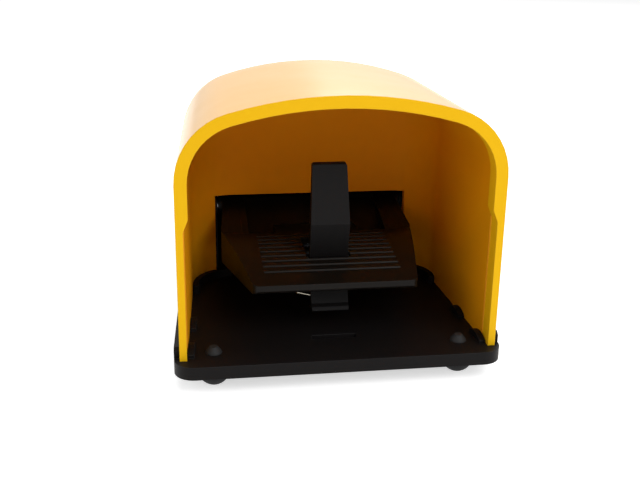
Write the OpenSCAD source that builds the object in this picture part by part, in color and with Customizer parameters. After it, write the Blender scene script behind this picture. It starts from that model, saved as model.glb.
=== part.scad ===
// Guarded industrial foot switch: a hooded base, a pedal on a rear axle with a toe latch,
// and a two-pole contact block behind the pedal, wired through the rear entries.
// Working frame: X to the right, Y from the front edge to the rear, Z up from the base's underside.

/* [Base] */
// Width of the base at its front edge
base_w = 162; // [150:0.5:180]
// Width of the base at its rear edge
base_rear_w = 140; // [130:0.5:150]
// Length of the base
base_l = 250; // [244:0.5:270]
// Corner radius at the front
base_front_r = 10; // [7:0.5:16]
// Corner radius at the rear
base_rear_r = 32; // [26:0.5:38]
// Thickness of the base from underside to floor
base_t = 6.7; // [6:0.1:9]
// Thickness of the floor skin over the underside pockets
base_skin = 2.7; // [2:0.1:3.5]
// Thickness of the ribs under the floor
base_rib = 2.4; // [1.8:0.1:3.5]
// Distance between the ribs under the floor
rib_pitch = 26; // [20:0.5:34]
// Height of the outer lip above the floor
lip_h = 5.5; // [4:0.1:8]
// Thickness of the outer lip
lip_t = 2.6; // [2:0.1:3.5]
// Distance from the front edge to the start of the lip
lip_start = 11; // [9:0.5:18]
// Height of the inner hood clips above the floor
clip_h = 3.4; // [2.5:0.1:5]
// Thickness of the inner hood clips
clip_t = 3; // [2:0.1:4]
// Length of each inner hood clip
clip_l = 15; // [10:0.5:20]
// Width of the slot in the floor ahead of the latch
floor_slot_w = 23; // [18:0.5:26]
// Length of the slot in the floor, front to rear
floor_slot_l = 4.4; // [3:0.1:6]
// Distance from the front edge to the middle of the floor slot
floor_slot_y = 27.4; // [24:0.1:32]

/* [Feet] */
// Radius of a rubber foot
foot_r = 8; // [6.5:0.1:9]
// Height of a rubber foot
foot_h = 9; // [7:0.1:12]
// Radius of the flat that a foot stands on
foot_flat_r = 4; // [3:0.1:5]
// Radius of a foot's stem
foot_stem_r = 2.6; // [2:0.1:3.2]
// Height of a foot's retaining head above the floor
foot_head_h = 3.2; // [2:0.1:4.5]
// Distance from the front edge to the front feet
foot_front_y = 16; // [14:0.5:24]
// Distance from the rear edge to the rear feet
foot_rear_y = 30; // [24:0.5:40]
// Distance from the base's side edge to the middle of a foot
foot_side = 19; // [15:0.5:26]

/* [Hood] */
// Height of the hood above the floor
hood_h = 127.2; // [118:0.1:140]
// Wall thickness of the hood
hood_t = 3.6; // [3:0.1:4.5]
// Thickness of the heavier band around the mouth
band_t = 6; // [5:0.1:7]
// Depth of the heavier band, front to rear
band_d = 9; // [5:0.5:14]
// Height above the floor where the band thins down to the wall
band_low = 65; // [50:0.5:75]
// Height of the bevel that ends the band
band_bevel = 6; // [3:0.5:9]
// Distance from the front edge to the hood's mouth
mouth_y = 7.5; // [6:0.1:9]
// Radius of the hood's shoulders
shoulder_r = 33.6; // [28:0.1:36]
// Drop from the crown of the hood to the centres of its shoulders
shoulder_drop = 39.9; // [38:0.1:44]
// Distance from the front edge to the start of the roof's fall
fall_y = 105; // [96:0.5:112]
// Radius of the bend where the roof starts to fall
fall_r = 100; // [80:1:130]
// Angle of the roof's fall
fall_a = 30; // [24:0.5:34]
// Radius of the roof's rear edge
rear_edge_r = 22; // [14:0.5:28]
// Distance from the front edge to the partition
partition_y = 119.6; // [116:0.1:123]
// Thickness of the partition
partition_t = 3; // [2.4:0.1:4]
// Radius of the upright corners in front of the partition
partition_r = 23.6; // [15:0.1:30]
// Width of the window in the partition
window_w = 111.2; // [109.5:0.1:116]
// Height of the window above the floor
window_h = 49; // [48:0.1:56]
// Radius of the screw bosses inside the hood
boss_r = 5; // [4:0.1:6.5]
// Height of the screw bosses inside the hood
boss_h = 34; // [24:0.5:40]
// Clearance between the hood and the lip around it
hood_gap = 0.3; // [0.1:0.05:0.6]

/* [Pedal] */
// Width of the pedal at its nose
pedal_nose_w = 84; // [76:0.5:90]
// Width of the pedal across its arms
pedal_w = 107; // [100:0.5:108]
// Distance from the front edge to the pedal's nose
pedal_nose_y = 23.8; // [22:0.1:26]
// Distance from the front edge to where the pedal reaches its full width
pedal_flare_y = 93; // [80:0.5:96]
// Distance from the front edge to the rear edge of the tread between the arms
tread_end_y = 88; // [84:0.5:92]
// Distance from the front edge to the rear edge of the middle tongue
tongue_end_y = 109.5; // [108.5:0.5:110]
// Half width of the middle tongue
tongue_hw = 23; // [20:0.5:26]
// Half width across the arms at the axle
arm_end_hw = 50.2; // [48:0.1:53]
// Half width between the arms
arm_inner_hw = 38.4; // [34:0.1:42]
// Radius of the tread's crown, front to rear
tread_r = 240; // [200:5:320]
// Distance from the front edge to the highest point of the tread
tread_crest_y = 76; // [70:0.5:82]
// Height of the tread's highest point above the underside of the base
tread_crest_z = 42.8; // [40:0.1:45]
// Thickness of the tread plate
tread_t = 3; // [2.4:0.1:3.4]
// Thickness of the pedal's side walls
pedal_wall = 3.6; // [3.5:0.1:4]
// Depth of the rounded nose
nose_d = 4.4; // [3.8:0.1:6]
// Depth of the side walls where they are deepest
skirt_d = 17.5; // [12:0.5:19]
// Number of grip ribs across the tread
rib_count = 9; // [5:1:11]
// Distance between the grip ribs
grip_pitch = 5.6; // [5:0.1:6]
// Half width of the grip ribs
grip_hw = 35; // [28:0.5:38]
// Height of the grip ribs
grip_h = 0.6; // [0.4:0.1:1.2]
// Distance from the front edge to the pedal's axle
axle_y = 132; // [130:0.1:134]
// Height of the axle above the underside of the base
axle_z = 46; // [44:0.1:48]
// Radius of the axle
axle_r = 3; // [2.5:0.1:3.5]
// Radius of the pedal's barrel around the axle
barrel_r = 7.5; // [6.5:0.1:8]
// Angle that the pedal turns through when pressed
pedal_travel = 8; // [5:0.5:8]
// Running clearance of a pin in its bore, on the radius
run_gap = 0.05; // [0.02:0.01:0.1]
// Side clearance between the pedal and its uprights
side_gap = 0.6; // [0.3:0.1:1]
// Thickness of the uprights that hold the axle
upright_t = 6; // [4:0.1:7]
// Radius of an upright's rounded head
upright_r = 8; // [7:0.1:9]
// Width of the cam bar that works the plungers
cam_w = 56; // [50:0.5:66]
// Thickness of the cam bar
cam_t = 5; // [4:0.1:6]
// Distance the cam bar's working face stands ahead of the axle
cam_ahead = 6; // [5:0.1:7]
// Depth of the cam bar below the axle
cam_d = 28; // [26:0.5:31]

/* [Latch] */
// Width of the latch lever at its foot
lever_w = 19.4; // [17:0.1:20]
// Width of the latch lever at its bend
lever_knee_w = 20.2; // [18:0.1:21]
// Width of the latch lever at its top
lever_top_w = 17.8; // [15:0.1:20]
// Distance from the front edge to the latch pin
latch_y = 54.4; // [53:0.1:55]
// Height of the latch pin above the underside of the base
latch_z = 35; // [34.5:0.1:35.2]
// Radius of the latch pin
latch_pin_r = 2; // [1.6:0.1:2.4]
// Radius of the lever's knuckle around its pin
knuckle_r = 4.2; // [4:0.1:4.3]
// Distance the lever's front face stands ahead of its pin
lever_ahead = 4.4; // [4.4:0.1:4.8]
// Thickness of the lever's bar
lever_t = 4.6; // [3.6:0.1:5]
// Height of the lever's bend above the underside of the base
knee_z = 60.6; // [56:0.1:66]
// Height of the lever's top above the underside of the base
lever_top_z = 91; // [84:0.1:96]
// Height of the lever's foot above the underside of the base
lever_foot_z = 14.6; // [14:0.1:18]
// Height above which the lever leans forward to its bend
waist_z = 41; // [39:0.1:44]
// Lean of the lever's foot
foot_lean = 20.7; // [18:0.1:22]
// Lean of the lever below its bend
middle_lean = 12.4; // [10:0.1:14]
// Lean of the lever above its bend
upper_lean = 11.6; // [8:0.1:16]
// Width of the slot in the tread for the lever
latch_slot_w = 22.8; // [22:0.1:24]
// Length of the slot in the tread for the lever
latch_slot_l = 27.5; // [25:0.5:29]
// Thickness of the ears under the tread that hold the latch pin
ear_t = 4; // [3:0.1:5]
// Distance from the middle of the pedal to the inner faces of the ears
ear_hw = 17.4; // [16:0.1:18]
// Wire diameter of the latch's torsion spring
latch_wire = 1.2; // [0.8:0.1:1.4]
// Turns of the latch's torsion spring
latch_turns = 3; // [2:1:4]

/* [Pedal spring] */
// Distance from the front edge to the pedal's return spring
spring_y = 97; // [94:0.5:98]
// Mean radius of the return spring
spring_r = 8; // [6:0.1:9]
// Wire diameter of the return spring
spring_wire = 1.8; // [1.2:0.1:2.2]
// Turns of the return spring
spring_turns = 6; // [4:1:8]

/* [Contact block] */
// Width of the contact block
block_w = 76; // [72:0.5:84]
// Length of the contact block, front to rear
block_l = 40; // [38:0.5:46]
// Height of the contact block without its cover
block_h = 38; // [36:0.5:44]
// Wall thickness of the contact block
block_t = 2.6; // [2:0.1:3]
// Distance from the front edge to the contact block's front face
block_y = 141; // [140.5:0.1:144]
// Thickness of the contact block's cover
cover_t = 2.6; // [2:0.1:4]
// Distance from the middle to each pole
pole_x = 19; // [18:0.5:21]
// Height of the plungers above the underside of the base
plunger_z = 24; // [22.5:0.1:26]
// Radius of a plunger
plunger_r = 3.5; // [3:0.1:4]
// Radius of a plunger's rear stem
stem_r = 2; // [1.6:0.1:2.4]
// Width of a moving contact bridge
bridge_w = 21; // [19:0.5:24]
// Height of a moving contact bridge
bridge_h = 6; // [5:0.1:8]
// Thickness of a moving contact bridge
bridge_t = 1.2; // [0.8:0.1:1.6]
// Thickness of the fixed contact strips
strip_t = 1; // [0.8:0.1:1.2]
// Width of the fixed contact strips
strip_w = 6; // [5:0.1:7]
// Radius of the silver contact buttons
button_r = 2; // [1.5:0.1:2.4]
// Height of a contact button
button_h = 0.8; // [0.5:0.1:1.2]
// Travel that the plungers make for one radian of the pedal
plunger_rate = 22; // [21:0.1:24]

/* [Cable entries] */
// Radius of an entry hole
entry_r = 10.1; // [9.8:0.1:10.4]
// Distance from the middle to each entry
entry_x = 21; // [19:0.5:23]
// Height of the entries above the underside of the base
entry_z = 26; // [25.5:0.5:28]
// Half width of the entry wall
entry_wall_hw = 42; // [40:0.5:46]
// Height of the entry wall above the underside of the base
entry_wall_h = 44; // [42:0.5:48]
// Thickness of the entry wall
entry_wall_t = 4; // [3:0.1:5]
// Size of the gland's hexagon across its flats
gland_af = 24; // [23:0.5:25]
// Length of the gland's hexagon
gland_hex_l = 6; // [5:0.5:8]
// Length of the gland's dome nut
gland_nut_l = 17; // [14:0.5:20]
// Thickness of the flat seals under the gland and the plug
entry_seal_t = 1.5; // [1:0.1:2]
// Thickness of the blanking plug's head
plug_head_t = 4; // [3:0.5:6]
// Thickness of the lock nuts
locknut_t = 5; // [4:0.5:6]
// Radius of the cable bore in the gland's seal
cable_r = 4.5; // [3:0.1:5.5]

/* [Fasteners] */
// Radius of the hood and block screws
screw_r = 2; // [1.5:0.1:2.5]
// Length of the hood and block screws below their heads
screw_l = 18; // [12:0.5:20]
// Radius of a screw head
head_r = 3.8; // [3.2:0.1:4.2]
// Height of a screw head
head_h = 2.4; // [1.8:0.1:2.8]

/* [Hidden] */
$fn = 48;
eps = 0.01;

// Plan outline: a tapering plate with a circle at each corner and straight sides between them.
front_c = [base_w / 2 - base_front_r, base_front_r];
rear_c = [base_rear_w / 2 - base_rear_r, base_l - base_rear_r];
side_v = rear_c - front_c;
side_a = atan2(side_v.y, side_v.x) - acos((base_front_r - base_rear_r) / norm(side_v));
side_n = [cos(side_a), sin(side_a)];
side_c = front_c * side_n + base_front_r;
// Half width of the outline at a distance y, set in by a margin
function side_x(y, inset) = (side_c - inset - y * side_n.y) / side_n.x;
function half_w(y, inset) =
    y <= rear_c.y + (base_rear_r - inset) * side_n.y
        ? side_x(y, inset)
        : rear_c.x + sqrt(max(0, pow(base_rear_r - inset, 2) - pow(y - rear_c.y, 2)));

floor_z = base_t;
lip_top = floor_z + lip_h;
hood_inset = lip_t + hood_gap;
hood_top = floor_z + hood_h;
hood_rear = base_l - hood_inset;
clip_inset = hood_inset + hood_t + hood_gap;

// Roof line: level, a bend, a straight fall and a rounded rear edge, with parallel curves inside it.
bend_c = [fall_y, hood_top - fall_r];
edge_y = hood_rear - rear_edge_r;
bend_end = bend_c + fall_r * [sin(fall_a), cos(fall_a)];
edge_z = bend_end.y - (edge_y + rear_edge_r * sin(fall_a) - bend_end.x) * tan(fall_a)
    - rear_edge_r * cos(fall_a);
function roof(y, t) =
    y < fall_y ? hood_top - t
    : y < fall_y + (fall_r - t) * sin(fall_a)
        ? bend_c.y + sqrt(pow(fall_r - t, 2) - pow(y - fall_y, 2))
    : y < edge_y + (rear_edge_r - t) * sin(fall_a)
        ? edge_z + ((rear_edge_r - t) - (y - edge_y) * sin(fall_a)) / cos(fall_a)
    : edge_z + sqrt(max(0, pow(rear_edge_r - t, 2) - pow(y - edge_y, 2)));

// Arched section: upright sides, a shoulder arc on each side and one wide arc between them.
side_steps = 9;
crown_steps = 12;
function arch(hw, top, low, t = 0) =
    let (s = (top + t - low) / (hood_top - low),
         rs = max(4, shoulder_r * s - t),
         k = shoulder_drop * s - t,
         rt = (pow(hw - rs, 2) + k * k - rs * rs) / (2 * (k - rs)),
         a = atan2(rt - k, hw - rs),
         right = [for (i = [0:side_steps]) let (b = a * i / side_steps)
             [hw - rs + rs * cos(b), top - k + rs * sin(b)]],
         crown = [for (i = [1:crown_steps - 1]) let (b = a + (180 - 2 * a) * i / crown_steps)
             [rt * cos(b), top - rt + rt * sin(b)]])
    concat([[hw, low]], right, crown,
        [for (i = [side_steps:-1:0]) [-right[i].x, right[i].y]], [[-hw, low]]);

// Distances at which the hood's section changes
bend_ys = [for (a = [0:6:fall_a]) fall_y + fall_r * sin(a)];
function corner_ys(inset) = [for (a = [0:11.25:90]) rear_c.y + (base_rear_r - inset) * sin(a)];

gland_y = hood_rear + entry_seal_t;
origin_shift = (gland_y + gland_hex_l + gland_nut_l) / 2;

// Everything is built from the front edge and the underside of the base, then set on the shared
// origin: the middle of the footprint, at the height of the feet's soles.
module placed() {
    translate([0, -origin_shift, foot_h]) children();
}

module mirrored() {
    children();
    mirror([1, 0, 0]) children();
}

// Flat shapes
module plan(inset = 0) {
    mirrored() {
        polygon([[0, inset], [front_c.x, inset],
            front_c + (base_front_r - inset) * side_n,
            rear_c + (base_rear_r - inset) * side_n,
            [rear_c.x, base_l - inset], [0, base_l - inset]]);
        translate(front_c) circle(base_front_r - inset);
        translate(rear_c) circle(base_rear_r - inset);
    }
}

// A solid through a row of rings that have equally many points
module loft(rings) {
    n = len(rings[0]);
    last = len(rings) - 1;
    polyhedron(
        points = [for (r = rings) each r],
        faces = concat(
            [[for (j = [n - 1:-1:0]) j]],
            [for (i = [0:last - 1]) for (j = [0:n - 1])
                [i * n + j, i * n + (j + 1) % n, (i + 1) * n + (j + 1) % n, (i + 1) * n + j]],
            [[for (j = [0:n - 1]) last * n + j]]));
}

function section(y, hw, low, t) = [for (p = arch(hw, roof(y, t), low, t)) [p.x, y, p.y]];

// A round bar along X
module bar_x(r, w, y, z) {
    translate([-w / 2, y, z]) rotate([0, 90, 0]) cylinder(r = r, h = w);
}

// A side profile, drawn as [y, z], given a width along X
module across(w) {
    translate([-w / 2, 0, 0]) rotate([90, 0, 90]) linear_extrude(w) children();
}

// A helical wire along Z, from z = 0 to its length over the wire
function coil_ring(mean_r, wire, a, z) = [for (b = [0:60:300])
    [(mean_r + wire / 2 * cos(b)) * cos(a), (mean_r + wire / 2 * cos(b)) * sin(a),
        z + wire / 2 * sin(b)]];
module coil(mean_r, wire, length, turns, steps = 14) {
    n = turns * steps;
    loft([for (i = [0:n])
        coil_ring(mean_r, wire, 360 * i / steps, wire / 2 + (length - wire) * i / n)]);
}

// A round rod from one point to another
module rod(a, b, r) {
    v = b - a;
    translate(a) rotate([0, acos(v.z / norm(v)), atan2(v.y, v.x)]) cylinder(r = r, h = norm(v));
}

// Feet and screws
foot_spots = [for (sx = [-1, 1]) each [
    [sx * (side_x(foot_front_y, 0) - foot_side), foot_front_y],
    [sx * (side_x(base_l - foot_rear_y, 0) - foot_side), base_l - foot_rear_y]]];
hood_screw_ys = [axle_y + 22, block_y + block_l + 24];
hood_screw_spots = [for (y = hood_screw_ys) for (sx = [-1, 1])
    [sx * (half_w(y, hood_inset + hood_t) - boss_r + 1), y]];
block_screw_spots = [for (sx = [-1, 1]) [sx * (block_w / 2 + 5), block_y + block_l - 7]];

// The dome's centre lies where its arc meets both the base and the edge of the standing flat.
dome_z = (foot_r * foot_r - foot_flat_r * foot_flat_r - foot_h * foot_h) / (2 * foot_h);
module foot() {
    rotate_extrude() {
        difference() {
            union() {
                intersection() {
                    translate([0, dome_z]) circle(norm([foot_r, dome_z]));
                    translate([0, -foot_h]) square([2 * foot_r, foot_h]);
                }
                square([foot_stem_r, floor_z + foot_head_h - 1]);
                polygon([[0, floor_z], [foot_stem_r + 1.6, floor_z],
                    [foot_stem_r + 1.2, floor_z + 1], [foot_stem_r - 0.6, floor_z + foot_head_h],
                    [0, floor_z + foot_head_h]]);
            }
            translate([-foot_h, -foot_h]) square([foot_h, 3 * foot_h]);
        }
    }
}

// A pan-head screw: its shank runs up from z = 0 and its head lies below.
module screw(r, l, hr, hh) {
    difference() {
        union() {
            cylinder(r = r, h = l - 2);
            translate([0, 0, l - 2]) cylinder(r1 = r, r2 = r * 0.4, h = 2, $fn = 24);
            translate([0, 0, -hh]) cylinder(r = hr, h = hh);
        }
        translate([0, 0, -hh]) cross_recess(hr * 0.55, hh * 0.55);
    }
}

module cross_recess(reach, depth) {
    for (a = [0, 90]) {
        rotate(a) translate([-reach, -reach * 0.22, -eps]) cube([2 * reach, reach * 0.44, depth]);
    }
}

module base_plate() placed() color("#171618") {
    pocket_z = base_t - base_skin;
    difference() {
        union() {
            linear_extrude(base_t) plan();
            lip();
            mirrored() hood_clips();
            mirrored() upright();
            entry_wall();
            spring_seat();
        }
        difference() {
            translate([0, 0, -eps]) linear_extrude(pocket_z + eps) plan(3.2);
            base_ribs();
        }
        for (p = foot_spots) {
            translate([p.x, p.y, -1]) cylinder(r = foot_stem_r, h = base_t + 2);
        }
        for (p = concat(hood_screw_spots, block_screw_spots)) {
            translate([p.x, p.y, -1]) cylinder(r = screw_r + 0.2, h = base_t + 2);
            translate([p.x, p.y, -1]) cylinder(r = head_r + 0.3, h = 1 + head_h);
        }
        translate([-floor_slot_w / 2, floor_slot_y - floor_slot_l / 2, -1])
            cube([floor_slot_w, floor_slot_l, base_t + 2]);
        bar_x(axle_r + run_gap, 2 * base_w, axle_y, axle_z);
        for (sx = [-1, 1]) {
            translate([sx * entry_x, base_l + 5, entry_z]) rotate([90, 0, 0])
                cylinder(r = entry_r, h = 20);
        }
    }
}

module lip() {
    difference() {
        translate([0, 0, floor_z - eps]) linear_extrude(lip_h + eps) plan();
        translate([0, 0, floor_z - 1]) linear_extrude(lip_h + 2) plan(lip_t);
        translate([-base_w, -1, floor_z - eps]) cube([2 * base_w, lip_start + 1, lip_h + 1]);
        translate([0, lip_start, lip_top]) rotate([45, 0, 0])
            cube([2 * base_w, 2.4, 2.4], center = true);
    }
}

// The clips stand inside the hood's wall and hold it against the lip.
clip_ys = [mouth_y + 3 + clip_l / 2, 49];
module hood_clips() {
    for (y = clip_ys) {
        intersection() {
            translate([0, 0, floor_z - eps]) linear_extrude(clip_h) difference() {
                plan(clip_inset);
                plan(clip_inset + clip_t);
            }
            translate([0, y, floor_z + clip_h - clip_l]) rotate([0, 90, 0])
                cylinder(r = clip_l, h = base_w);
            translate([0, y - clip_l / 2, 0]) cube([base_w, clip_l, base_w]);
        }
    }
    corner_clip();
}

// The last clip follows the upright corner in front of the partition.
corner_c = [half_w(partition_y - partition_r, hood_inset + hood_t) - partition_r,
    partition_y - partition_r];
module corner_clip() {
    clip_r = partition_r - hood_gap;
    intersection() {
        translate([corner_c.x, corner_c.y, floor_z - eps]) difference() {
            cylinder(r = clip_r, h = clip_h + 1);
            translate([0, 0, -1]) cylinder(r = clip_r - clip_t, h = clip_h + 3);
        }
        translate([corner_c.x, corner_c.y - 4, 0]) cube([clip_r + 1, clip_r + 1, base_w]);
    }
}

module base_ribs() {
    linear_extrude(base_t) {
        for (x = [-3:3]) {
            translate([x * rib_pitch - base_rib / 2, 0]) square([base_rib, base_l]);
        }
        for (y = [1:floor(base_l / rib_pitch)]) {
            translate([-base_w / 2, y * rib_pitch - base_rib / 2]) square([base_w, base_rib]);
        }
        for (p = foot_spots) {
            translate(p) circle(foot_r + 0.5);
        }
        for (p = concat(hood_screw_spots, block_screw_spots)) {
            translate(p) circle(head_r + 2.2);
        }
        translate([-floor_slot_w / 2 - 2, floor_slot_y - floor_slot_l / 2 - 2])
            square([floor_slot_w + 4, floor_slot_l + 4]);
        translate([-entry_wall_hw, base_l - 12]) square([2 * entry_wall_hw, 10]);
    }
}

upright_x = pedal_w / 2 + side_gap;
module upright() {
    translate([upright_x, 0, 0]) rotate([90, 0, 90]) linear_extrude(upright_t) {
        translate([axle_y, axle_z]) circle(upright_r);
        polygon([[axle_y - upright_r, floor_z - eps], [axle_y + upright_r + 6, floor_z - eps],
            [axle_y + upright_r, axle_z], [axle_y - upright_r, axle_z]]);
    }
    translate([upright_x, axle_y - base_rib / 2, floor_z - eps]) intersection() {
        cube([upright_t + 9, base_rib, axle_z - floor_z - upright_r]);
        rotate([90, 0, 0]) translate([0, 0, -base_rib - 1]) linear_extrude(base_rib + 2)
            polygon([[0, 0], [upright_t + 5, 0], [upright_t, axle_z - floor_z], [0, axle_z]]);
    }
}

module entry_wall() {
    translate([-entry_wall_hw, hood_rear - entry_wall_t, floor_z - eps])
        cube([2 * entry_wall_hw, entry_wall_t, entry_wall_h - floor_z + eps]);
    for (x = [-entry_wall_hw, -base_rib / 2, entry_wall_hw - base_rib]) {
        translate([x, hood_rear - entry_wall_t - 12, floor_z - eps]) rotate([90, 0, 90])
            linear_extrude(base_rib) polygon([[0, 0], [12 + eps, 0], [12 + eps, 12]]);
    }
}

module spring_seat() {
    translate([0, spring_y, floor_z - eps]) difference() {
        cylinder(r = spring_r + spring_wire / 2 + 2.3, h = 3);
        translate([0, 0, -1]) cylinder(r = spring_r + spring_wire / 2 + 0.3, h = 5);
    }
    translate([0, spring_y, floor_z - eps]) cylinder(r = spring_r - spring_wire / 2 - 0.4, h = 5);
}

module hood() placed() color("#f2b51c") {
    difference() {
        union() {
            difference() {
                hood_outside();
                hood_mouth();
                foot_room();
                wire_room();
            }
            hood_bosses();
        }
        translate([-window_w / 2, partition_y - 8, floor_z - 1])
            cube([window_w, partition_t + 9, window_h + 1]);
        translate([-entry_wall_hw - hood_gap, hood_rear - 3 * entry_wall_t, floor_z - 1])
            cube([2 * (entry_wall_hw + hood_gap), 4 * entry_wall_t,
                entry_wall_h - floor_z + 1 + hood_gap]);
        for (p = hood_screw_spots) {
            translate([p.x, p.y, floor_z - 1]) cylinder(r = screw_r, h = screw_l + 1.5);
        }
    }
}

module hood_outside() {
    loft([for (y = concat([mouth_y], bend_ys, corner_ys(hood_inset)))
        section(y, half_w(y, hood_inset), floor_z, 0)]);
}

// The mouth is narrower than the room behind it, down to where its band ends.
module hood_mouth() {
    hw = half_w(mouth_y, hood_inset);
    low = floor_z + band_low;
    translate([0, mouth_y + band_d, 0]) rotate([90, 0, 0]) linear_extrude(band_d + 1) {
        polygon(arch(hw - band_t, hood_top - band_t, floor_z - 1, band_t));
        polygon([[-(hw - hood_t), floor_z - 1], [hw - hood_t, floor_z - 1], [hw - hood_t, low],
            [hw - band_t - eps, low + band_bevel], [-(hw - band_t - eps), low + band_bevel],
            [-(hw - hood_t), low]]);
    }
}

module foot_room() {
    t = hood_inset + hood_t;
    start = mouth_y + band_d - eps;
    loft(concat(
        [section(start, half_w(start, t), floor_z - 1, hood_t)],
        [for (a = [0:11.25:90]) section(corner_c.y + partition_r * sin(a),
            corner_c.x + partition_r * cos(a), floor_z - 1, hood_t)]));
}

module wire_room() {
    t = hood_inset + hood_t;
    front = partition_y + partition_t;
    loft([for (y = concat([front], [for (b = bend_ys) if (b > front + 1) b], corner_ys(t)))
        section(y, half_w(y, t), floor_z - 1, hood_t)]);
}

module hood_bosses() {
    for (p = hood_screw_spots) {
        translate([p.x, p.y, floor_z]) cylinder(r = boss_r, h = boss_h);
        translate([p.x > 0 ? p.x : p.x - boss_r, p.y - base_rib / 2, floor_z])
            cube([boss_r, base_rib, boss_h + 6]);
    }
}

module rubber_feet() placed() color("#2a2a2c") {
    for (p = foot_spots) {
        translate([p.x, p.y, 0]) foot();
    }
}

module hood_screws() placed() color("#b9bcc0") {
    for (p = hood_screw_spots) {
        translate([p.x, p.y, head_h]) screw(screw_r, screw_l, head_r, head_h);
    }
}

module block_screws() placed() color("#b9bcc0") {
    for (p = block_screw_spots) {
        translate([p.x, p.y, head_h]) screw(screw_r, screw_l - 6, head_r, head_h);
    }
}

// Height of the tread's upper face at a distance y
function tread_z(y) = tread_crest_z - tread_r + sqrt(tread_r * tread_r - pow(y - tread_crest_y, 2));

// Plan of the pedal: a rounded nose that flares out to the arms
nose_r = 4;
module pedal_plan(m = 0) {
    nose = pedal_nose_w / 2 - m;
    wide = pedal_w / 2 - m;
    corner = [for (a = [-90:15:0]) [nose - nose_r, pedal_nose_y + m + nose_r] + nose_r * [cos(a), sin(a)]];
    polygon(concat(corner, [[wide, pedal_flare_y], [arm_end_hw - m, axle_y],
        [-(arm_end_hw - m), axle_y], [-wide, pedal_flare_y]],
        [for (i = [len(corner) - 1:-1:0]) [-corner[i].x, corner[i].y]]));
}

module tread_band(t) {
    difference() {
        translate([tread_crest_y, tread_crest_z - tread_r]) circle(tread_r, $fn = 720);
        translate([tread_crest_y, tread_crest_z - tread_r]) circle(tread_r - t, $fn = 720);
    }
}

arm_top = [axle_y - 1.5, axle_z + barrel_r - 1];
arm_foot = [pedal_flare_y - 3, tread_z(pedal_flare_y - 3)];

// Side walls run from the nose to the barrel; their lower edge drops toward the middle.
module wall_profile(start) {
    difference() {
        intersection() {
            union() {
                translate([tread_crest_y, tread_crest_z - tread_r]) circle(tread_r, $fn = 720);
                polygon([arm_foot, arm_top, [arm_top.x, 0], [arm_foot.x, 0]]);
            }
            polygon([[pedal_nose_y, tread_z(pedal_nose_y) + 1],
                [pedal_nose_y, tread_z(pedal_nose_y) - nose_d],
                [pedal_flare_y - 3, tread_z(pedal_flare_y - 3) - skirt_d],
                [pedal_flare_y + 5, tread_z(pedal_flare_y - 3) - skirt_d],
                [arm_top.x, axle_z - barrel_r + 1], [arm_top.x, arm_top.y + 1]]);
        }
        translate([0, -1]) square([start, 2 * axle_z]);
    }
}

// The arms are channels, open below: a skin on top and, standing a little above it, a wall on
// each side.
arm_lip = 0.15;
module arm_skin() {
    slope = (arm_top - arm_foot) / norm(arm_top - arm_foot);
    down = [slope.y, -slope.x] * tread_t;
    translate([0, -arm_lip])
        polygon([arm_foot - 2 * slope, arm_top, arm_top + down, arm_foot + down - 2 * slope]);
}

module pedal() placed() color("#1b1512") {
    arm_w = arm_end_hw - 0.2 - arm_inner_hw;
    difference() {
        union() {
            tread();
            nose();
            intersection() {
                linear_extrude(2 * axle_z) difference() {
                    pedal_plan();
                    pedal_plan(pedal_wall);
                }
                across(2 * pedal_w) wall_profile(pedal_nose_y + 2);
            }
            webs();
            mirrored() {
                translate([arm_inner_hw + arm_w / 2, 0, 0]) across(arm_w) arm_skin();
                translate([arm_inner_hw + pedal_wall / 2, 0, 0]) across(pedal_wall)
                    wall_profile(tread_end_y - pedal_wall);
                tongue_rib();
                pin_ear();
            }
            bar_x(barrel_r, pedal_w, axle_y, axle_z);
            cam_bar();
            pin_boss();
            translate([0, spring_y, tread_z(spring_y) - tread_t - 4])
                cylinder(r = spring_r - spring_wire / 2 - 0.4, h = 4 + tread_t / 2);
            grip_ribs();
        }
        bar_x(axle_r + run_gap, 2 * pedal_w, axle_y, axle_z);
        bar_x(latch_pin_r, 2 * (ear_hw + ear_t) + 2, latch_y, latch_z);
        translate([-latch_slot_w / 2, latch_y - lever_ahead - 1.4, latch_z + 1])
            cube([latch_slot_w, latch_slot_l, axle_z]);
    }
}

// Sloped webs close the pockets behind the tread and end inside the barrel; the return spring
// stands in the gap under the tongue.
function web_z(y) = axle_z + 6 - (axle_y - 3 - y) * 0.554;
module webs() {
    start = tread_end_y + 6;
    difference() {
        across(2 * arm_inner_hw + pedal_wall) polygon([[start, web_z(start)],
            [axle_y - 3, web_z(axle_y - 3)], [axle_y - 3, web_z(axle_y - 3) - 3.4],
            [start + 1, web_z(start + 1) - 3.4]]);
        translate([pedal_wall - tongue_hw, 0, 0])
            cube([2 * (tongue_hw - pedal_wall), tongue_end_y - 2.5, axle_z]);
    }
}

module tread() {
    intersection() {
        across(2 * pedal_w) tread_band(tread_t);
        linear_extrude(2 * axle_z) difference() {
            intersection() {
                pedal_plan();
                translate([-pedal_w, 0]) square([2 * pedal_w, tongue_end_y]);
            }
            mirrored() {
                translate([tongue_hw, tread_end_y]) square([arm_inner_hw - tongue_hw, base_l]);
                translate([arm_inner_hw - 1, pedal_flare_y]) square([pedal_w, base_l]);
            }
        }
    }
}

module nose() {
    z = tread_z(pedal_nose_y);
    intersection() {
        linear_extrude(2 * axle_z) pedal_plan();
        across(2 * pedal_w) {
            translate([pedal_nose_y + nose_d / 2, z - nose_d / 2]) circle(nose_d / 2);
            polygon([[pedal_nose_y + nose_d / 2, z - nose_d], [pedal_nose_y + nose_d + 1, z - nose_d + 1],
                [pedal_nose_y + nose_d + 1, z + 0.4], [pedal_nose_y + nose_d / 2, z]]);
        }
    }
}

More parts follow.
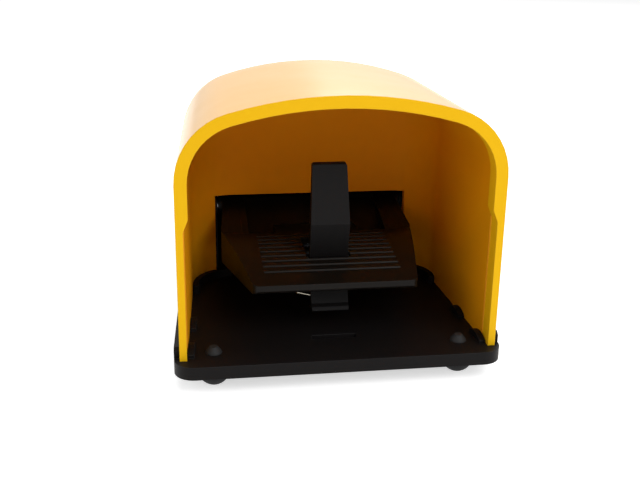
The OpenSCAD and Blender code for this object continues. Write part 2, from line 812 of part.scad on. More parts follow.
// Ribs under the tongue carry it from the barrel.
module tongue_rib() {
    z = tread_z(tongue_end_y) - tread_t / 2;
    translate([tongue_hw - pedal_wall, 0, 0]) across(pedal_wall)
        polygon([[tread_end_y - 20, tread_crest_z - tread_t / 2], [tread_end_y - 20, z - 4],
            [tongue_end_y, z - 12],
            [arm_top.x, axle_z - barrel_r + 1], [axle_y - barrel_r / 2, axle_z], [tongue_end_y, z]]);
}

module grip_ribs() {
    across(2 * grip_hw) {
        for (i = [0:rib_count - 1]) {
            y = tread_end_y - 6.5 - i * grip_pitch;
            translate([y, tread_z(y)])
                polygon([[-1, -1], [1, -1], [0.9, 0.1], [0.5, grip_h], [-0.5, grip_h], [-0.9, 0.1]]);
        }
    }
}

module cam_bar() {
    translate([-cam_w / 2, axle_y - cam_ahead - cam_t, axle_z - cam_d])
        cube([cam_w, cam_t, cam_d + 1]);
}

// Two ears under the tread hold the latch pin; a boss on the right one centres the lever.
module pin_ear() {
    translate([ear_hw + ear_t / 2, 0, 0]) across(ear_t) {
        translate([latch_y, latch_z]) circle(knuckle_r);
        polygon([[latch_y - knuckle_r, latch_z], [latch_y + knuckle_r, latch_z],
            [latch_y + knuckle_r + 4, tread_z(latch_y + 8) - 1],
            [latch_y - knuckle_r - 2, tread_z(latch_y - 6) - 1]]);
    }
}

lever_side = lever_knee_w / 2;
module pin_boss() {
    w = ear_hw - lever_side - 0.3;
    translate([ear_hw - w / 2 + 0.05, 0, 0]) bar_x(knuckle_r - 0.6, w + 0.1, latch_y, latch_z);
}

module pedal_axle() placed() color("#c3c6ca") {
    reach = upright_x + upright_t;
    difference() {
        bar_x(axle_r, 2 * (reach + 2.5), axle_y, axle_z);
        mirrored() {
            translate([reach + 0.1 + clip_thick / 2, 0, 0]) difference() {
                bar_x(axle_r + 1, clip_thick, axle_y, axle_z);
                bar_x(axle_r - 0.7, clip_thick + 1, axle_y, axle_z);
            }
        }
    }
}

clip_thick = 0.8;
module axle_clips() placed() color("#8d9094") {
    mirrored() {
        translate([upright_x + upright_t + 0.1 + clip_thick / 2, 0, 0]) difference() {
            bar_x(axle_r + 2.2, clip_thick, axle_y, axle_z);
            bar_x(axle_r - 0.7, clip_thick + 1, axle_y, axle_z);
            translate([-1, axle_y - 1.6, axle_z]) cube([2, 3.2, axle_r + 3]);
        }
    }
}

module pedal_spring() placed() color("#b5b8bc") {
    translate([0, spring_y, floor_z])
        coil(spring_r, spring_wire, tread_z(spring_y) - tread_t - floor_z - 0.15, spring_turns);
}

// Distance of the lever's front face from the front edge at a height z
waist_y = latch_y - lever_ahead;
knee_y = waist_y - (knee_z - waist_z) * tan(middle_lean);
function lever_y(z) =
    z < latch_z ? waist_y - (latch_z - z) * tan(foot_lean)
    : z < waist_z ? waist_y
    : z < knee_z ? waist_y - (z - waist_z) * tan(middle_lean)
    : knee_y + (z - knee_z) * tan(upper_lean);

module toe_lever() placed() color("#2b2a29") {
    difference() {
        union() {
            intersection() {
                across(2 * lever_w) lever_profile();
                translate([0, base_l, 0]) rotate([90, 0, 0]) linear_extrude(base_l) lever_front();
            }
            bar_x(knuckle_r, lever_w, latch_y, latch_z);
        }
        bar_x(latch_pin_r + run_gap, 2 * lever_w, latch_y, latch_z);
    }
}

module lever_profile() {
    foot = lever_foot_z;
    top = lever_top_z;
    polygon([[lever_y(foot) - 0.8, foot], [lever_y(foot) - 1.2, foot + 0.5],
        [lever_y(foot + 2.2) - 1.2, foot + 2.2], [lever_y(foot + 3.6), foot + 3.6],
        [waist_y, latch_z], [waist_y, waist_z], [knee_y, knee_z], [lever_y(top - 0.6), top - 0.6],
        [lever_y(top) + 0.6, top], [lever_y(top) + lever_t - 1.2, top],
        [lever_y(top - 0.8) + lever_t - 0.6, top - 0.8], [knee_y + lever_t, knee_z - 1],
        [waist_y + lever_t, waist_z], [waist_y + lever_t, latch_z],
        [lever_y(foot + 6) + lever_t, foot + 6], [lever_y(foot) + lever_t - 1.2, foot]]);
}

module lever_front() {
    top_r = 1.4;
    hw = lever_top_w / 2;
    corner = [for (a = [0:15:90]) [hw - top_r, lever_top_z - top_r] + top_r * [cos(a), sin(a)]];
    polygon(concat([[lever_w / 2 - 0.6, lever_foot_z - 1], [lever_w / 2, lever_foot_z + 1.5],
        [lever_side, knee_z]], corner,
        [for (i = [len(corner) - 1:-1:0]) [-corner[i].x, corner[i].y]],
        [[-lever_side, knee_z], [-lever_w / 2, lever_foot_z + 1.5],
        [-(lever_w / 2 - 0.6), lever_foot_z - 1]]));
}

module lever_pin() placed() color("#c3c6ca") {
    bar_x(latch_pin_r, 2 * (ear_hw + ear_t), latch_y, latch_z);
}

// The spring's coil sits on the pin, left of the lever: one leg runs to the lever's side and the
// other one back under the tread.
module lever_spring() placed() color("#d0c8b8") {
    r = latch_pin_r + 0.25 + latch_wire / 2;
    x0 = -ear_hw + 0.2;
    w = latch_wire / 2;
    length = latch_turns * (latch_wire + 0.15) + latch_wire;
    hook_z = latch_z - 13;
    start = [x0 + w, latch_y - r, latch_z];
    elbow = [x0 + w, lever_y(hook_z) + 0.9, hook_z + 1.9];
    tip = [-lever_side, lever_y(hook_z) + 1.4, hook_z];
    back = [x0 + length - w, latch_y, latch_z - r];
    back_tip = [back.x, latch_y + 16, tread_z(latch_y + 16) - tread_t - w - 0.2];
    translate([x0, latch_y, latch_z]) rotate([0, 90, 0]) rotate(-90)
        coil(r, latch_wire, length, latch_turns + 0.25, 12);
    spring_leg([start, elbow, tip], w);
    spring_leg([back, back_tip], w);
}

module spring_leg(points, w) {
    for (i = [0:len(points) - 2]) {
        rod(points[i], points[i + 1], w - 0.02);
        translate(points[i]) sphere(w + 0.03, $fn = 24);
    }
}

// Places shared by the parts of the contact block
block_back = block_y + block_l;
block_top = floor_z + block_h;
bay_y = block_y + block_t;
terminal_z = block_top - 6;
flange_r = 5;
flange_t = 2.7;
guide_l = 7;
bridge_y = block_y + guide_l + 0.3 + flange_t;
travel = plunger_rate * pedal_travel * PI / 180;
strip_x = 8.2;
nc_y = bridge_y - button_h - strip_t;
no_y = bridge_y + bridge_t + travel + 0.15 + button_h;
stem_end = block_back - block_t - travel - 0.5;
rear_boss_y = stem_end - 2.8;
nc_screw_y = bay_y + 2.7;
no_screw_y = no_y + 4.8;
tab_l = no_screw_y + 3 - no_y;
cover_screw_ys = [block_y + 6, block_back - 6];
cover_screw_r = 1.25;
cover_head_h = 1.6;
terminal_screw_r = 1.5;
terminal_head_r = 2.6;
terminal_head_h = 1.8;

// Every terminal as [x, y of its screw]
terminals = [for (p = [-pole_x, pole_x]) for (s = [-1, 1]) for (y = [nc_screw_y, no_screw_y])
    [p + s * strip_x, y]];

// A round bar along Y
module bar_y(r, l, x, y, z) {
    translate([x, y, z]) rotate([-90, 0, 0]) cylinder(r = r, h = l);
}

module contact_block() placed() color("#34383c") {
    ear = 10;
    difference() {
        union() {
            block_shell();
            for (x = [-pole_x, pole_x]) {
                bar_y(plunger_r + 2, guide_l - 1, x, block_y + 1, plunger_z);
                bar_y(stem_r + 2.5, block_back - 1 - rear_boss_y, x, rear_boss_y, plunger_z);
            }
            for (x = [-pole_x, pole_x], s = [-1, 1]) {
                translate([x + s * strip_x - strip_w / 2 - 0.5, bay_y - eps, terminal_z - 8])
                    cube([strip_w + 1, nc_y - bay_y + eps, 8]);
                translate([x + s * strip_x - strip_w / 2 - 0.5, no_y + strip_t, terminal_z - 8])
                    cube([strip_w + 1, block_back - block_t - no_y - strip_t + eps, 8]);
            }
            for (p = block_screw_spots) {
                translate([p.x - (p.x > 0 ? ear / 2 + eps : ear / 2), p.y - ear / 2, floor_z])
                    cube([ear + eps, ear, screw_l - 2]);
            }
        }
        for (x = [-pole_x, pole_x]) {
            bar_y(plunger_r + run_gap, guide_l + 2, x, block_y - 1, plunger_z);
            bar_y(stem_r + run_gap, block_back - block_t - rear_boss_y + 1, x, rear_boss_y - 1,
                plunger_z);
            translate([x - 4, block_back - block_t - 1, block_top - 9])
                cube([8, block_t + 2, 10]);
        }
        for (t = terminals) {
            translate([t.x, t.y, terminal_z - 6]) cylinder(r = terminal_screw_r, h = 8);
        }
        for (y = cover_screw_ys) {
            translate([0, y, block_top - 11]) cylinder(r = cover_screw_r, h = 12);
        }
        for (p = block_screw_spots) {
            translate([p.x, p.y, floor_z - 1]) cylinder(r = screw_r, h = screw_l - 7);
        }
    }
}

module block_shell() {
    difference() {
        translate([-block_w / 2, block_y, floor_z]) cube([block_w, block_l, block_h]);
        mirrored() translate([block_t / 2, bay_y, floor_z + block_t])
            cube([block_w / 2 - 1.5 * block_t, block_l - 2 * block_t, block_h]);
    }
    for (y = cover_screw_ys) {
        translate([0, y, floor_z + 1]) cylinder(r = 3.2, h = block_h - 1);
    }
}

module block_cover() placed() color("#26292c") {
    difference() {
        translate([-block_w / 2, block_y, block_top]) cube([block_w, block_l, cover_t]);
        for (t = terminals) {
            translate([t.x, t.y, block_top - 1]) cylinder(r = terminal_head_r + 0.3, h = cover_t + 2);
        }
        for (y = cover_screw_ys) {
            translate([0, y, block_top - 1]) cylinder(r = cover_screw_r + 0.2, h = cover_t + 2);
        }
    }
}

// A screw set from above: its head stands on z and its shank points down.
module top_screw(x, y, z, r, l, hr, hh) {
    translate([x, y, z]) rotate([180, 0, 0]) screw(r, l, hr, hh);
}

module cover_screws() placed() color("#b9bcc0") {
    for (y = cover_screw_ys) {
        top_screw(0, y, block_top + cover_t, cover_screw_r, 10, 2.4, cover_head_h);
    }
}

module terminal_screws() placed() color("#c9a24a") {
    for (t = terminals) {
        top_screw(t.x, t.y, terminal_z + strip_t, terminal_screw_r, 6.5,
            terminal_head_r, terminal_head_h);
    }
}

module plunger(x) {
    tip = axle_y - cam_ahead + 0.1 + plunger_r;
    translate([x, 0, plunger_z]) rotate([-90, 0, 0]) rotate_extrude() {
        difference() {
            union() {
                translate([0, tip]) circle(plunger_r);
                translate([0, tip]) square([plunger_r, bridge_y - tip]);
                translate([0, bridge_y - flange_t]) square([flange_r, flange_t]);
                translate([0, bridge_y - flange_t]) square([stem_r, stem_end - bridge_y + flange_t]);
            }
            translate([-2 * plunger_r, 0]) square([2 * plunger_r, 2 * base_l]);
        }
    }
}

module plunger_left() placed() color("#e8e4da") plunger(-pole_x);
module plunger_right() placed() color("#e8e4da") plunger(pole_x);

module bridge(x) {
    difference() {
        translate([x - bridge_w / 2, bridge_y, plunger_z - bridge_h / 2])
            cube([bridge_w, bridge_t, bridge_h]);
        bar_y(stem_r, bridge_t + 2, x, bridge_y - 1, plunger_z);
    }
}

module bridge_left() placed() color("#c98c3c") bridge(-pole_x);
module bridge_right() placed() color("#c98c3c") bridge(pole_x);

module plunger_spring(x) {
    y = bridge_y + bridge_t;
    translate([x, y, plunger_z]) rotate([-90, 0, 0]) coil(3.2, 0.7, rear_boss_y - y, 8, 12);
}

module plunger_spring_left() placed() color("#b5b8bc") plunger_spring(-pole_x);
module plunger_spring_right() placed() color("#b5b8bc") plunger_spring(pole_x);

// Strips with a button below and a tab under the terminal screw on top
module fixed_contacts() placed() color("#c98c3c") {
    for (x = [-pole_x, pole_x], s = [-1, 1]) {
        strip(x + s * strip_x, nc_y, bay_y + 0.2, nc_screw_y, nc_y + strip_t);
        strip(x + s * strip_x, no_y, no_y, no_screw_y, no_y - button_h);
    }
}

module strip(x, y, tab_y, screw_y, button_y) {
    tab_end = max(y + strip_t, screw_y + 3);
    difference() {
        union() {
            translate([x - strip_w / 2, y, plunger_z - 4])
                cube([strip_w, strip_t, terminal_z + strip_t - plunger_z + 4]);
            translate([x - strip_w / 2, tab_y, terminal_z])
                cube([strip_w, tab_end - tab_y, strip_t]);
            bar_y(button_r, button_h, x, button_y, plunger_z);
        }
        translate([x, screw_y, terminal_z - 1]) cylinder(r = terminal_screw_r, h = 4);
    }
}

// Cable gland in the left entry, blanking plug in the right one
module on_entry(sx) {
    translate([sx * entry_x, 0, entry_z]) rotate([-90, 0, 0]) children();
}

stub_y = hood_rear - entry_wall_t - locknut_t - 3;
nut_y = gland_y + gland_hex_l;
collar_end = nut_y + gland_nut_l - 6;

module hexagon(across_flats, l) {
    rotate(30) cylinder(r = across_flats / 2 / cos(30), h = l, $fn = 6);
}

module gland_body() placed() color("#2c2e31") {
    on_entry(-1) difference() {
        union() {
            translate([0, 0, stub_y]) cylinder(r = 10, h = gland_y - stub_y + 1);
            translate([0, 0, gland_y]) hexagon(gland_af, gland_hex_l);
            translate([0, 0, nut_y - 1]) cylinder(r = 8.6, h = collar_end - nut_y + 1);
        }
        translate([0, 0, stub_y - 1]) cylinder(r = 6, h = collar_end - stub_y + 2);
    }
}

module gland_seal() placed() color("#1d1d1f") {
    on_entry(-1) difference() {
        union() {
            translate([0, 0, collar_end - 8]) cylinder(r = 6, h = 9);
            translate([0, 0, collar_end]) cylinder(r = 8.4, h = 3.8);
        }
        translate([0, 0, collar_end - 9]) cylinder(r = cable_r, h = 14);
    }
}

module gland_nut() placed() color("#2c2e31") {
    top = nut_y + gland_nut_l;
    on_entry(-1) difference() {
        rotate_extrude() polygon([[8.65, nut_y], [11.8, nut_y], [11.8, top - 6], [11.2, top - 3.4],
            [9.6, top - 1], [7.6, top], [6.2, top], [6.2, top - 2.2], [8.65, top - 2.2]]);
        for (a = [0:30:330]) {
            rotate(a) translate([11.6, 0, nut_y - 1]) cylinder(r = 0.8, h = gland_nut_l - 6, $fn = 24);
        }
    }
}

module locknut() {
    translate([0, 0, hood_rear - entry_wall_t - locknut_t]) difference() {
        hexagon(26, locknut_t);
        translate([0, 0, -1]) cylinder(r = 10, h = locknut_t + 2);
    }
}

module gland_locknut() placed() color("#3a3d40") on_entry(-1) locknut();
module plug_locknut() placed() color("#3a3d40") on_entry(1) locknut();

module blanking_plug() placed() color("#2c2e31") {
    on_entry(1) difference() {
        union() {
            translate([0, 0, stub_y]) cylinder(r = 10, h = gland_y - stub_y + 1);
            translate([0, 0, gland_y]) cylinder(r = 12.5, h = plug_head_t);
        }
        translate([0, 0, stub_y - 1]) cylinder(r = 7.5, h = gland_y - stub_y + 1);
        translate([-9, -1.2, gland_y + plug_head_t - 2]) cube([18, 2.4, 3]);
    }
}

module entry_seals() placed() color("#1d1d1f") {
    for (sx = [-1, 1]) {
        on_entry(sx) translate([0, 0, hood_rear]) difference() {
            cylinder(r = 12.3, h = entry_seal_t);
            translate([0, 0, -1]) cylinder(r = 10, h = entry_seal_t + 2);
        }
    }
}

base_plate();
hood();
rubber_feet();
hood_screws();
pedal();
pedal_axle();
axle_clips();
pedal_spring();
toe_lever();
lever_pin();
lever_spring();
contact_block();
block_cover();
cover_screws();
block_screws();
plunger_left();
plunger_right();
bridge_left();
bridge_right();
plunger_spring_left();
plunger_spring_right();
fixed_contacts();
terminal_screws();
gland_body();
gland_seal();
gland_nut();
gland_locknut();
blanking_plug();
plug_locknut();
entry_seals();
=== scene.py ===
import math

import bmesh
import bpy
from mathutils import Matrix, Vector


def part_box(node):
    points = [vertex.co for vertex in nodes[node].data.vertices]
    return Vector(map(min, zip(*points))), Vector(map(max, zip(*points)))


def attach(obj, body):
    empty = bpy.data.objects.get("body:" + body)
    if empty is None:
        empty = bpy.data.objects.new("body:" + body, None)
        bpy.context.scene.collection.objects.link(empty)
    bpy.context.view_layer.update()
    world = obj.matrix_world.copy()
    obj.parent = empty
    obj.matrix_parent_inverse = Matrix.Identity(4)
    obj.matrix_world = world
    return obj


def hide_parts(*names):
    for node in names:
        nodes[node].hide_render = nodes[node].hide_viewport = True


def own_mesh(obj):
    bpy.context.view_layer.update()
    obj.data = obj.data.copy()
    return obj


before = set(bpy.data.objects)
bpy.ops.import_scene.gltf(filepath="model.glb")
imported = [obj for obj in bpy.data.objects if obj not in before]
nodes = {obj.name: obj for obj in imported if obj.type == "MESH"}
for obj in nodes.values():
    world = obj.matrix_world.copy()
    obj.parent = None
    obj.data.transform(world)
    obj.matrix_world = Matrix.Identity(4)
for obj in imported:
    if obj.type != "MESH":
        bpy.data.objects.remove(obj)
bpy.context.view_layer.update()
print("frame loaded:", len(nodes), "nodes")

# every plastic: base and shade colours (linear), roughness, grain size in metres, grain depth, edge polish
plastics = {
    "hoodYellow": dict(
        colour=(0.88, 0.44, 0.006), shade=(0.82, 0.39, 0.004),
        rough=0.30, grain=0.0011, depth=0.000035, edge=0.05, edgeRadius=0.0006, coat=0.45, spec=0.5,
    ),
    # a lighter copy of the hood's yellow: painted light on the guard's front rim
    "hoodRimPaintedLight": dict(
        colour=(0.96, 0.545, 0.006), shade=(0.91, 0.505, 0.005),
        rough=0.48, grain=0.0009, depth=0.00004, edge=0.02, edgeRadius=0.0006, coat=0.0, spec=0.10,
    ),
    # a darker, more orange copy of the hood's yellow: painted shade on the guard's inner walls; its matte
    # finish is the real moulded inside
    "hoodInsidePaintedShade": dict(
        colour=(0.88, 0.365, 0.003), shade=(0.83, 0.325, 0.003),
        rough=0.55, grain=0.0013, depth=0.00005, edge=0.03, edgeRadius=0.0006, coat=0.0, spec=0.06,
    ),
    "baseBlack": dict(
        colour=(0.0060, 0.0050, 0.0050), shade=(0.0042, 0.0035, 0.0035),
        rough=0.48, grain=0.0009, depth=0.00005, edge=0.014, edgeRadius=0.0005, coat=0.0, spec=0.11,
    ),
    # near-black pedal whose warm brown tint is a painted reflection of the yellow hood
    "pedalBlackPaintedReflection": dict(
        colour=(0.0066, 0.0050, 0.0036), shade=(0.0048, 0.0036, 0.0026),
        rough=0.32, grain=0.0016, depth=0.00003, edge=0.004, edgeRadius=0.0006, coat=0.0, spec=0.11,
    ),
    "leverBlack": dict(
        colour=(0.0052, 0.0045, 0.0045), shade=(0.0038, 0.0033, 0.0033),
        rough=0.52, grain=0.0007, depth=0.00006, edge=0.014, edgeRadius=0.0005, coat=0.0, spec=0.12,
    ),
    "footRubber": dict(
        colour=(0.014, 0.014, 0.0145), shade=(0.010, 0.010, 0.0105),
        rough=0.68, grain=0.0006, depth=0.00007, edge=0.01, edgeRadius=0.0004, coat=0.0, spec=0.3,
    ),
    "sealRubber": dict(
        colour=(0.012, 0.012, 0.0125), shade=(0.009, 0.009, 0.0095),
        rough=0.62, grain=0.0006, depth=0.00006, edge=0.01, edgeRadius=0.0003, coat=0.0, spec=0.3,
    ),
    "blockGrey": dict(
        colour=(0.030, 0.034, 0.038), shade=(0.024, 0.027, 0.031),
        rough=0.5, grain=0.0008, depth=0.00005, edge=0.02, edgeRadius=0.0004, coat=0.0, spec=0.35,
    ),
    "coverBlack": dict(
        colour=(0.014, 0.0155, 0.0175), shade=(0.011, 0.012, 0.014),
        rough=0.46, grain=0.0008, depth=0.00005, edge=0.02, edgeRadius=0.0004, coat=0.0, spec=0.35,
    ),
    "plungerWhite": dict(
        colour=(0.70, 0.67, 0.60), shade=(0.64, 0.61, 0.54),
        rough=0.4, grain=0.0008, depth=0.00002, edge=0.03, edgeRadius=0.0003, coat=0.0, spec=0.4,
    ),
    "glandBlack": dict(
        colour=(0.016, 0.0168, 0.018), shade=(0.012, 0.0126, 0.0135),
        rough=0.42, grain=0.0007, depth=0.00004, edge=0.015, edgeRadius=0.0004, coat=0.0, spec=0.4,
    ),
}

# every metal: colour, roughness, length of the brushing in metres across and along
metals = {
    "zincSteel": dict(
        colour=(0.62, 0.63, 0.65), shade=(0.50, 0.52, 0.56),
        rough=0.28, fine=0.0004, long=0.006, depth=0.00001,
    ),
    "springSteel": dict(
        colour=(0.66, 0.60, 0.48), shade=(0.50, 0.46, 0.38),
        rough=0.22, fine=0.0003, long=0.002, depth=0.000008,
    ),
    "contactBrass": dict(
        colour=(0.72, 0.46, 0.16), shade=(0.58, 0.34, 0.11),
        rough=0.3, fine=0.0004, long=0.004, depth=0.00001,
    ),
}

# what all plastics share: the scale of the slow change of tone, the coat's roughness, the cosines between
# which a face becomes an edge, and how far the roughness spreads
plasticValues = dict(
    cloudScale=26.0, coatRough=0.12, flatCosine=0.995, edgeCosine=0.86, smoother=0.05, rougher=0.07,
    bumpStrength=0.8, edgeSamples=4,
)

# what all metals share
metalValues = dict(cloudScale=220.0, smoother=0.08, rougher=0.12, bumpStrength=0.6)


def nodeTool(material):
    tree = material.node_tree

    def add(kind, **inputs):
        n = tree.nodes.new(kind)
        for key, value in inputs.items():
            n.inputs[key.replace("_", " ")].default_value = value
        return n

    return tree, add, tree.links.new


def plasticMaterial(name):
    v = {**plasticValues, **plastics[name]}
    mat = bpy.data.materials.new(name)
    mat.use_nodes = True
    tree, add, link = nodeTool(mat)
    shader = tree.nodes["Principled BSDF"]
    shader.inputs["Specular IOR Level"].default_value = v["spec"]
    shader.inputs["Coat Weight"].default_value = v["coat"]
    shader.inputs["Coat Roughness"].default_value = v["coatRough"]
    where = add("ShaderNodeTexCoord")
    # cloud is a slow change of tone over the part, grain is the mould's texture
    cloud = add("ShaderNodeTexNoise", Scale=v["cloudScale"], Detail=4.0, Roughness=0.6)
    grain = add("ShaderNodeTexNoise", Scale=1.0 / v["grain"], Detail=3.0, Roughness=0.55)
    for n in (cloud, grain):
        link(where.outputs["Object"], n.inputs["Vector"])
    tone = add("ShaderNodeMix")
    tone.data_type = "RGBA"
    tone.inputs["A"].default_value = (*v["colour"], 1)
    tone.inputs["B"].default_value = (*v["shade"], 1)
    link(cloud.outputs["Fac"], tone.inputs["Factor"])
    soft = add("ShaderNodeBevel", Radius=v["edgeRadius"])  # rounded edges in the shading
    soft.samples = v["edgeSamples"]
    shape = add("ShaderNodeNewGeometry")
    match = add("ShaderNodeVectorMath")
    match.operation = "DOT_PRODUCT"
    link(soft.outputs["Normal"], match.inputs[0])
    link(shape.outputs["Normal"], match.inputs[1])
    edge = add("ShaderNodeMapRange")  # 0 on a face, 1 on an edge
    edge.inputs["From Min"].default_value = v["flatCosine"]
    edge.inputs["From Max"].default_value = v["edgeCosine"]
    link(match.outputs["Value"], edge.inputs["Value"])
    worn = add("ShaderNodeMix")
    worn.data_type = "RGBA"
    worn.blend_type = "ADD"
    worn.inputs["B"].default_value = (v["edge"], v["edge"], v["edge"], 1)
    link(edge.outputs["Result"], worn.inputs["Factor"])
    link(tone.outputs["Result"], worn.inputs["A"])
    link(worn.outputs["Result"], shader.inputs["Base Color"])
    polish = add("ShaderNodeMapRange")
    polish.inputs["To Min"].default_value = v["rough"] - v["smoother"]
    polish.inputs["To Max"].default_value = v["rough"] + v["rougher"]
    link(cloud.outputs["Fac"], polish.inputs["Value"])
    link(polish.outputs["Result"], shader.inputs["Roughness"])
    bump = add("ShaderNodeBump", Strength=v["bumpStrength"], Distance=v["depth"])
    link(grain.outputs["Fac"], bump.inputs["Height"])
    link(soft.outputs["Normal"], bump.inputs["Normal"])
    link(bump.outputs["Normal"], shader.inputs["Normal"])
    return mat


def metalMaterial(name):
    v = {**metalValues, **metals[name]}
    mat = bpy.data.materials.new(name)
    mat.use_nodes = True
    tree, add, link = nodeTool(mat)
    shader = tree.nodes["Principled BSDF"]
    shader.inputs["Metallic"].default_value = 1.0
    where = add("ShaderNodeTexCoord")
    stretch = add("ShaderNodeMapping")
    stretch.inputs["Scale"].default_value = (1 / v["long"], 1 / v["fine"], 1 / v["fine"])
    link(where.outputs["Object"], stretch.inputs["Vector"])
    brush = add("ShaderNodeTexNoise", Scale=1.0, Detail=4.0, Roughness=0.6)
    link(stretch.outputs["Vector"], brush.inputs["Vector"])
    cloud = add("ShaderNodeTexNoise", Scale=v["cloudScale"], Detail=3.0, Roughness=0.6)
    link(where.outputs["Object"], cloud.inputs["Vector"])
    tone = add("ShaderNodeMix")
    tone.data_type = "RGBA"
    tone.inputs["A"].default_value = (*v["colour"], 1)
    tone.inputs["B"].default_value = (*v["shade"], 1)
    link(cloud.outputs["Fac"], tone.inputs["Factor"])
    link(tone.outputs["Result"], shader.inputs["Base Color"])
    polish = add("ShaderNodeMapRange")
    polish.inputs["To Min"].default_value = v["rough"] - v["smoother"]
    polish.inputs["To Max"].default_value = v["rough"] + v["rougher"]
    link(brush.outputs["Fac"], polish.inputs["Value"])
    link(polish.outputs["Result"], shader.inputs["Roughness"])
    bump = add("ShaderNodeBump", Strength=v["bumpStrength"], Distance=v["depth"])
    link(brush.outputs["Fac"], bump.inputs["Height"])
    link(bump.outputs["Normal"], shader.inputs["Normal"])
    return mat


finishes = {name: plasticMaterial(name) for name in plastics}
finishes.update({name: metalMaterial(name) for name in metals})

# which finish each CAD node takes
nodeFinish = {
    "base_plate": "baseBlack", "hood": "hoodYellow", "rubber_feet": "footRubber", "hood_screws": "zincSteel",
    "pedal": "pedalBlackPaintedReflection", "pedal_axle": "zincSteel", "axle_clips": "zincSteel", "pedal_spring": "zincSteel",
    "toe_lever": "leverBlack", "lever_pin": "zincSteel", "lever_spring": "springSteel",
    "contact_block": "blockGrey", "block_cover": "coverBlack", "cover_screws": "zincSteel",
    "block_screws": "zincSteel", "plunger_left": "plungerWhite", "plunger_right": "plungerWhite",
    "bridge_left": "contactBrass", "bridge_right": "contactBrass", "plunger_spring_left": "zincSteel",
    "plunger_spring_right": "zincSteel", "fixed_contacts": "contactBrass", "terminal_screws": "contactBrass",
    "gland_body": "glandBlack", "gland_seal": "sealRubber", "gland_nut": "glandBlack",
    "gland_locknut": "glandBlack", "blanking_plug": "glandBlack", "plug_locknut": "glandBlack",
    "entry_seals": "sealRubber",
}


# the guard: weld distance, rim depth and edge width in metres, angles in radians; inward, forward and
# rearward are parts of a face's normal, and heartHeight is a share of the guard's height
# inward, forward, rearward, rimDepth and heartHeight pick the faces that get painted shade inside the guard
# and painted light on its front rim
guardValues = dict(
    inward=0.2, forward=-0.9, rearward=0.15, rimDepth=0.006, heartHeight=0.5,
    weld=0.00001, flat=0.004, sharp=0.5, bevelAngle=0.9, edgeWidth=0.0005, edgeSegments=3,
    finishes=("hoodYellow", "hoodInsidePaintedShade", "hoodRimPaintedLight"),
)


def makeGuard():
    v = guardValues
    source = nodes["hood"]
    shell = bmesh.new()
    shell.from_mesh(source.data)
    bmesh.ops.remove_doubles(shell, verts=shell.verts, dist=v["weld"])
    bmesh.ops.dissolve_limit(shell, angle_limit=v["flat"], verts=shell.verts, edges=shell.edges)
    low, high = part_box("hood")
    heart = Vector(((low[0] + high[0]) / 2, 0, low[2] + v["heartHeight"] * (high[2] - low[2])))
    turn = source.matrix_world
    # each face takes the hood's own yellow, the painted shade of the inside, or the painted light of the
    # front rim
    for face in shell.faces:
        place = turn @ face.calc_center_median()
        way = turn.to_3x3() @ face.normal
        heart.y = place.y
        towards = (heart - place).normalized().dot(way)
        behindRim = place.y > low[1] + v["rimDepth"]
        facesIn = towards > v["inward"] and way.y < v["rearward"]
        facesFront = way.y < v["forward"]
        paintedToneIndex = 1 if behindRim else 2  # painted shade inside, or the rim's painted light
        face.material_index = paintedToneIndex if facesIn or facesFront else 0
        face.smooth = True
    for edge in shell.edges:
        if len(edge.link_faces) == 2 and edge.calc_face_angle() > v["sharp"]:
            edge.smooth = False
    mesh = bpy.data.meshes.new("guardShell")
    shell.to_mesh(mesh)
    shell.free()
    for finish in v["finishes"]:
        mesh.materials.append(finishes[finish])
    guard = bpy.data.objects.new("guardShell", mesh)
    guard.matrix_world = turn
    bpy.context.scene.collection.objects.link(guard)
    rim = guard.modifiers.new("rimEdges", "BEVEL")
    rim.width = v["edgeWidth"]
    rim.segments = v["edgeSegments"]
    rim.limit_method = "ANGLE"
    rim.angle_limit = v["bevelAngle"]
    rim.use_clamp_overlap = True
    rim.harden_normals = True
    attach(guard, "base")
    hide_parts("hood")


makeGuard()
print("guard made")

for nodeName, finish in nodeFinish.items():
    mesh = nodes[nodeName].data
    if not mesh.materials:
        mesh.materials.append(finishes[finish])
    for i in range(len(mesh.materials)):
        mesh.materials[i] = finishes[finish]
print("materials ready:", len(finishes))

# springs, each copied whole onto the base: the axis it shortens along in use, which corner of the box is
# held, and the stroke in metres
springValues = {
    "returnSpring": dict(node="pedal_spring", joint="pedal_hinge", axis=(0, 0, 1),
                         heldCorner=0, stroke=0.0060),
    "leftPlungerSpring": dict(node="plunger_spring_left", joint="plunger_left_slide", axis=(0, 1, 0),
                              heldCorner=1, stroke=0.0031),
    "rightPlungerSpring": dict(node="plunger_spring_right", joint="plunger_right_slide", axis=(0, 1, 0),
                               heldCorner=1, stroke=0.0031),
}


def makeSprings():
    for name, v in springValues.items():
        source = nodes[v["node"]]
        spring = bpy.data.objects.new(name, source.data.copy())
        spring.matrix_world = source.matrix_world
        bpy.context.scene.collection.objects.link(spring)
        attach(spring, "base")
        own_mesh(spring)
        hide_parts(v["node"])


makeSprings()
print("springs made:", len(springValues))


stageValues = dict(
    target=(0, -0.01, 0.06), floorSize=16.0, floorColour=(0.86, 0.86, 0.86), floorLift=0.62, worldLight=0.25,
    lamps={
        "keyLamp": dict(power=18.0, size=1.0, place=(0.80, -1.20, 1.20)),
        "sideLamp": dict(power=7.0, size=1.2, place=(-1.40, -0.30, 0.90)),
        "topLamp": dict(power=13.0, size=1.2, place=(0.00, 0.30, 1.60)),
        "rearLamp": dict(power=6.0, size=1.0, place=(0.60, 1.40, 1.00)),
    },
)
cameraValues = dict(
    place=(-0.0753, -0.5428, 0.2221), turn=8.78, dip=19.33, roll=0.92, lens=53.44, sensor=36.0,
    nearClip=0.01,
)


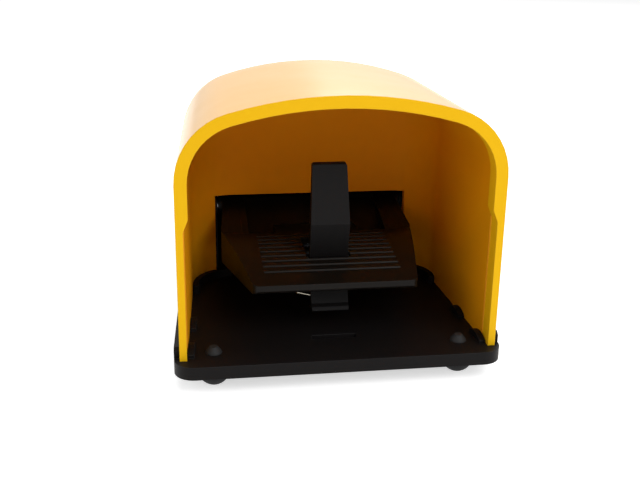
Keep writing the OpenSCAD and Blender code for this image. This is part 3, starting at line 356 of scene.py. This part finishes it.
# one for the rays that see the stage itself, and none for those that light the part
def seenOnly(add, link):
    path = add("ShaderNodeLightPath")
    total = None
    for ray in ("Is Camera Ray", "Is Glossy Ray", "Is Transmission Ray"):
        if total is None:
            total = path.outputs[ray]
            continue
        step = add("ShaderNodeMath")
        step.operation = "MAXIMUM"
        link(total, step.inputs[0])
        link(path.outputs[ray], step.inputs[1])
        total = step.outputs[0]
    return total


def makeFloor():
    mat = bpy.data.materials.new("floorPaper")
    mat.use_nodes = True
    tree, add, link = nodeTool(mat)
    tree.nodes.remove(tree.nodes["Principled BSDF"])
    paper = add("ShaderNodeBsdfDiffuse")
    paper.inputs["Color"].default_value = (*stageValues["floorColour"], 1)
    lift = add("ShaderNodeEmission")
    strength = add("ShaderNodeMath")
    strength.operation = "MULTIPLY"
    link(seenOnly(add, link), strength.inputs[0])
    strength.inputs[1].default_value = stageValues["floorLift"]
    link(strength.outputs[0], lift.inputs["Strength"])
    both = add("ShaderNodeAddShader")
    link(paper.outputs[0], both.inputs[0])
    link(lift.outputs[0], both.inputs[1])
    link(both.outputs[0], tree.nodes["Material Output"].inputs["Surface"])
    half = stageValues["floorSize"] / 2
    mesh = bpy.data.meshes.new("floorSheet")
    corners = [(-half, -half, 0), (half, -half, 0), (half, half, 0), (-half, half, 0)]
    mesh.from_pydata(corners, [], [(0, 1, 2, 3)])
    mesh.materials.append(mat)
    sheet = bpy.data.objects.new("floorSheet", mesh)
    bpy.context.scene.collection.objects.link(sheet)


def makeWorld():
    world = bpy.data.worlds.new("studioAir")
    bpy.context.scene.world = world
    world.use_nodes = True
    tree = world.node_tree
    tree.nodes.clear()

    def add(kind):
        return tree.nodes.new(kind)

    link = tree.links.new
    seen = seenOnly(add, link)
    strength = add("ShaderNodeMapRange")
    strength.inputs["To Min"].default_value = stageValues["worldLight"]
    strength.inputs["To Max"].default_value = 1.0
    link(seen, strength.inputs["Value"])
    air = add("ShaderNodeBackground")
    air.inputs["Color"].default_value = (1, 1, 1, 1)
    link(strength.outputs["Result"], air.inputs["Strength"])
    out = add("ShaderNodeOutputWorld")
    link(air.outputs[0], out.inputs["Surface"])


def makeLamps():
    target = Vector(stageValues["target"])
    for name, v in stageValues["lamps"].items():
        data = bpy.data.lights.new(name, "AREA")
        data.shape = "SQUARE"
        data.size = v["size"]
        data.energy = v["power"]
        lamp = bpy.data.objects.new(name, data)
        lamp.location = v["place"]
        lamp.rotation_euler = (target - Vector(v["place"])).to_track_quat("-Z", "Y").to_euler()
        bpy.context.scene.collection.objects.link(lamp)


def makeCamera():
    v = cameraValues
    turn, dip, roll = (math.radians(v[k]) for k in ("turn", "dip", "roll"))
    ahead = Vector((math.sin(turn) * math.cos(dip), math.cos(turn) * math.cos(dip), -math.sin(dip)))
    level = Vector((math.cos(turn), -math.sin(turn), 0))
    right = level * math.cos(roll) + level.cross(ahead) * math.sin(roll)
    up = right.cross(ahead)
    frameOf = Matrix((right, up, -ahead)).transposed().to_4x4()
    frameOf.translation = Vector(v["place"])
    data = bpy.data.cameras.new("studioCamera")
    data.lens = v["lens"]
    data.sensor_width = v["sensor"]
    data.clip_start = v["nearClip"]
    camera = bpy.data.objects.new("studioCamera", data)
    bpy.context.scene.collection.objects.link(camera)
    camera.matrix_world = frameOf
    bpy.context.scene.camera = camera


makeFloor()
makeWorld()
makeLamps()
makeCamera()
bpy.context.scene.view_settings.view_transform = "Standard"
print("floor, lamps and camera set")
